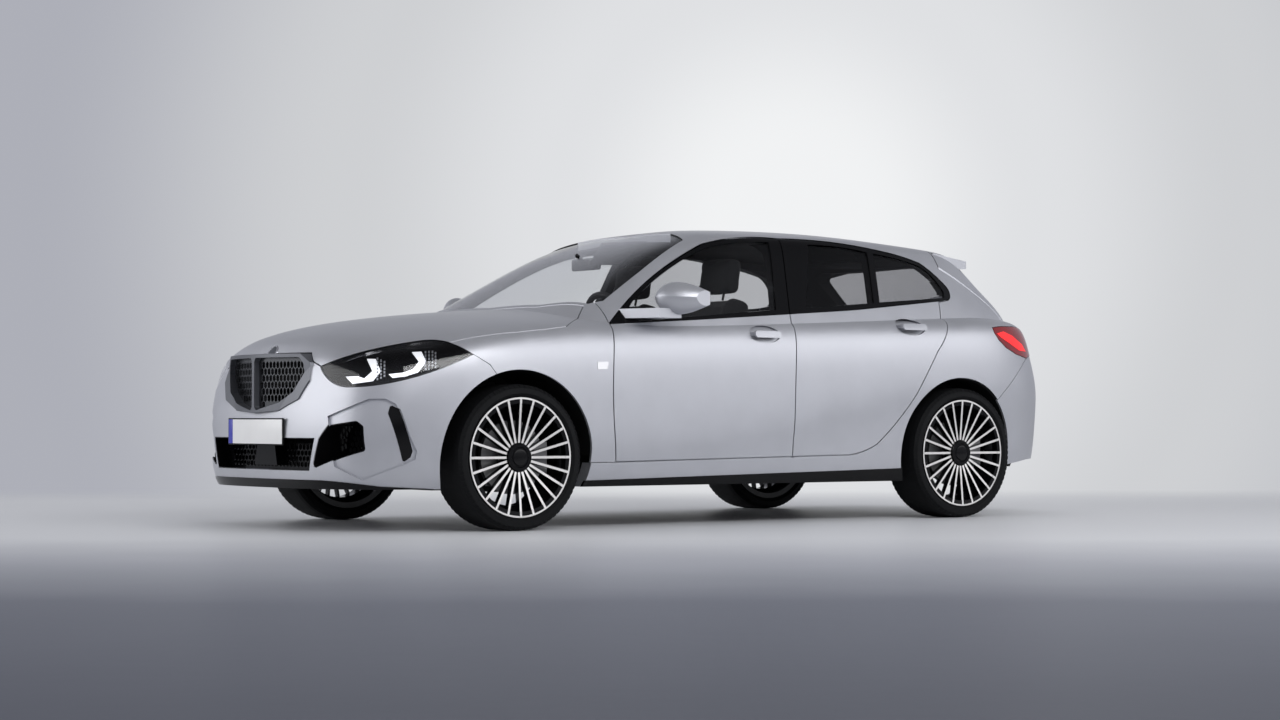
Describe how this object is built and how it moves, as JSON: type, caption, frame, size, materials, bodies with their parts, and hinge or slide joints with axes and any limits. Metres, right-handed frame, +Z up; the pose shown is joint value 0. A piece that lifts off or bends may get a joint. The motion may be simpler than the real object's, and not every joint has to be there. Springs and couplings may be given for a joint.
{
  "type": "hatchback car",
  "caption": "Five-door compact hatchback car with opening doors, bonnet and tailgate, steered front wheels and multi-spoke rims.",
  "frame": {"origin": "on the ground at the middle of the car's length and width", "axes": "+X towards the nose, +Y to the car's left, +Z up"},
  "size_m": [4.3457, 2.141, 1.4618],
  "materials": {
    "paint": "satin metallic light grey lilac",
    "chassis": "black sealed steel",
    "clear_glass": "clear",
    "tinted_glass": "dark tint",
    "lamp_black": "gloss",
    "lamp_red": "gloss",
    "liner": "matt",
    "carrier_iron": "machined and cast",
    "rim_alloy": "diamond-turned faces, black between",
    "tyre": "matt",
    "engine_alloy": "cast",
    "cabin_plastic": "grained",
    "seat_cloth": "woven",
    "grille_black": "gloss",
    "exhaust_steel": "brushed"
  },
  "bodies": {
    "body": {"left_body_side": "paint", "right_body_side": "paint", "roof": "paint", "floor_pan": "chassis", "front_structure": "chassis", "front_wings": "paint", "front_bumper": "paint", "rear_bumper": "paint", "windscreen": "clear_glass", "headlamps": "lamp_black", "headlamp_lenses": "clear_glass", "tail_lamps": "lamp_red", "arch_liners": "liner", "front_suspension": "chassis", "rear_suspension": "chassis", "rear_uprights": "carrier_iron", "engine_block": "engine_alloy", "dashboard": "cabin_plastic", "front_seats": "seat_cloth", "rear_seat": "seat_cloth", "grille_surround": "paint", "grille_mesh": "grille_black", "intake_meshes": "grille_black", "lower_trims": "liner", "exhaust": "exhaust_steel"},
    "bonnet": {"bonnet": "paint"},
    "tailgate": {"tailgate": "paint", "rear_window": "tinted_glass", "tailgate_lamps": "lamp_red"},
    "left_front_door": {"left_front_door": "paint", "left_front_glass": "tinted_glass", "left_mirror": "paint"},
    "right_front_door": {"right_front_door": "paint", "right_front_glass": "tinted_glass", "right_mirror": "paint"},
    "left_rear_door": {"left_rear_door": "paint", "left_rear_glass": "tinted_glass"},
    "right_rear_door": {"right_rear_door": "paint", "right_rear_glass": "tinted_glass"},
    "left_front_upright": {"left_front_upright": "carrier_iron"},
    "right_front_upright": {"right_front_upright": "carrier_iron"},
    "left_front_wheel": {"left_front_rim": "rim_alloy", "left_front_tyre": "tyre", "left_front_brake_disc": "carrier_iron"},
    "right_front_wheel": {"right_front_rim": "rim_alloy", "right_front_tyre": "tyre", "right_front_brake_disc": "carrier_iron"},
    "left_rear_wheel": {"left_rear_rim": "rim_alloy", "left_rear_tyre": "tyre", "left_rear_brake_disc": "carrier_iron"},
    "right_rear_wheel": {"right_rear_rim": "rim_alloy", "right_rear_tyre": "tyre", "right_rear_brake_disc": "carrier_iron"},
    "steering_wheel": {"steering_wheel": "cabin_plastic"}
  },
  "joints": [
    {"name": "left_front_door_hinge", "type": "hinge", "parent": "body", "child": "left_front_door", "pos_m": [0.812, 0.897, 0.6], "axis": [0, 0, 1], "range_deg": [-66, 0]},
    {"name": "right_front_door_hinge", "type": "hinge", "parent": "body", "child": "right_front_door", "pos_m": [0.812, -0.897, 0.6], "axis": [0, 0, 1], "range_deg": [0, 66]},
    {"name": "left_rear_door_hinge", "type": "hinge", "parent": "body", "child": "left_rear_door", "pos_m": [-0.267, 0.903, 0.6], "axis": [0, 0, 1], "range_deg": [-66, 0]},
    {"name": "right_rear_door_hinge", "type": "hinge", "parent": "body", "child": "right_rear_door", "pos_m": [-0.267, -0.903, 0.6], "axis": [0, 0, 1], "range_deg": [0, 66]},
    {"name": "bonnet_hinge", "type": "hinge", "parent": "body", "child": "bonnet", "pos_m": [0.832, 0, 1.046], "axis": [0, -1, 0], "range_deg": [0, 50]},
    {"name": "tailgate_hinge", "type": "hinge", "parent": "body", "child": "tailgate", "pos_m": [-1.431, 0, 1.434], "axis": [0, 1, 0], "range_deg": [0, 78]},
    {"name": "left_steer", "type": "hinge", "parent": "body", "child": "left_front_upright", "pos_m": [1.314, 0.72, 0.327], "axis": [0, 0, 1], "range_deg": [-33, 33]},
    {"name": "right_steer", "type": "hinge", "parent": "body", "child": "right_front_upright", "pos_m": [1.314, -0.72, 0.327], "axis": [0, 0, 1], "range_deg": [-33, 33]},
    {"name": "steering_wheel_turn", "type": "hinge", "parent": "body", "child": "steering_wheel", "pos_m": [0.4463, 0.37, 0.9293], "axis": [-0.9135, 0, 0.4067], "range_deg": [-462, 462]},
    {"name": "left_front_wheel_spin", "type": "hinge", "parent": "left_front_upright", "child": "left_front_wheel", "pos_m": [1.314, 0.782, 0.327], "axis": [0, 1, 0], "continuous": true},
    {"name": "left_rear_wheel_spin", "type": "hinge", "parent": "body", "child": "left_rear_wheel", "pos_m": [-1.356, 0.782, 0.327], "axis": [0, 1, 0], "continuous": true},
    {"name": "right_front_wheel_spin", "type": "hinge", "parent": "right_front_upright", "child": "right_front_wheel", "pos_m": [1.314, -0.782, 0.327], "axis": [0, 1, 0], "continuous": true},
    {"name": "right_rear_wheel_spin", "type": "hinge", "parent": "body", "child": "right_rear_wheel", "pos_m": [-1.356, -0.782, 0.327], "axis": [0, 1, 0], "continuous": true}
  ],
  "couplings": [
    {"joint": "right_steer", "follows": "left_steer", "ratio": 1},
    {"joint": "steering_wheel_turn", "follows": "left_steer", "ratio": 14}
  ]
}
